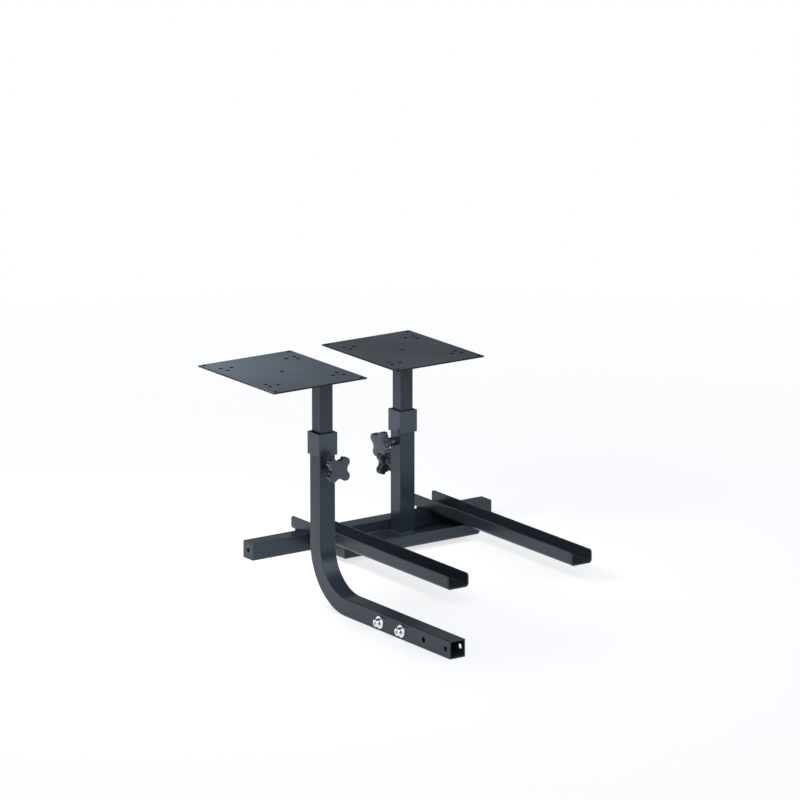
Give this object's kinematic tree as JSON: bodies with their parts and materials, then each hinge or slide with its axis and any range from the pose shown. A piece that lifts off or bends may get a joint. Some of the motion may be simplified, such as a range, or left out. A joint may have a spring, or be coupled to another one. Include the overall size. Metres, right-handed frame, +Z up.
{
  "type": "flight stick mount",
  "caption": "Bolt-in steel frame with a telescoping post and plate for a flight stick, and a bent side stand with a telescoping plate for a throttle.",
  "frame": {"origin": "centre of the cross tube's left end face", "axes": "+X along the seat rails to the front, +Y along the cross tube to the right, +Z up"},
  "size_m": [0.749, 0.706, 0.4035],
  "materials": {
    "graphite_coat": "satin",
    "zinc_steel": "bright",
    "black_grip": "matte"
  },
  "bodies": {
    "frame": {"cross_tube": "graphite_coat", "cross_end_left": "graphite_coat", "cross_end_right": "graphite_coat", "rail_left": "graphite_coat", "rail_right": "graphite_coat", "tray": "graphite_coat", "stick_post": "graphite_coat", "stick_collar": "graphite_coat", "stick_upper_nut": "graphite_coat", "stick_lower_nut": "graphite_coat", "throttle_stand": "graphite_coat", "throttle_collar": "graphite_coat", "throttle_nut": "graphite_coat", "stand_screw_1": "zinc_steel", "stand_screw_2": "zinc_steel", "stand_washer_1": "zinc_steel", "stand_washer_2": "zinc_steel"},
    "stick_head": {"stick_mast": "graphite_coat", "stick_plate": "graphite_coat"},
    "stick_upper_grip": {"stick_upper_knob": "black_grip", "stick_upper_stud": "zinc_steel"},
    "stick_lower_grip": {"stick_lower_knob": "black_grip", "stick_lower_stud": "zinc_steel"},
    "throttle_head": {"throttle_mast": "graphite_coat", "throttle_plate": "graphite_coat"},
    "throttle_grip": {"throttle_knob": "black_grip", "throttle_stud": "zinc_steel"}
  },
  "joints": [
    {"name": "stick_height", "type": "slide", "parent": "frame", "child": "stick_head", "axis": [0, 0, 1], "range_m": [-0.07, 0.03]},
    {"name": "throttle_height", "type": "slide", "parent": "frame", "child": "throttle_head", "axis": [0, 0, 1], "range_m": [-0.1, 0.025]},
    {"name": "stick_upper_clamp", "type": "hinge", "parent": "frame", "child": "stick_upper_grip", "pos_m": [0.036, 0.2408, 0.157], "axis": [0, -1, 0], "continuous": true},
    {"name": "stick_lower_clamp", "type": "hinge", "parent": "frame", "child": "stick_lower_grip", "pos_m": [-0.0155, 0.2923, 0.108], "axis": [-1, 0, 0], "continuous": true},
    {"name": "throttle_clamp", "type": "hinge", "parent": "frame", "child": "throttle_grip", "pos_m": [0.3415, -0.0435, 0.222], "axis": [1, 0, 0], "continuous": true}
  ]
}
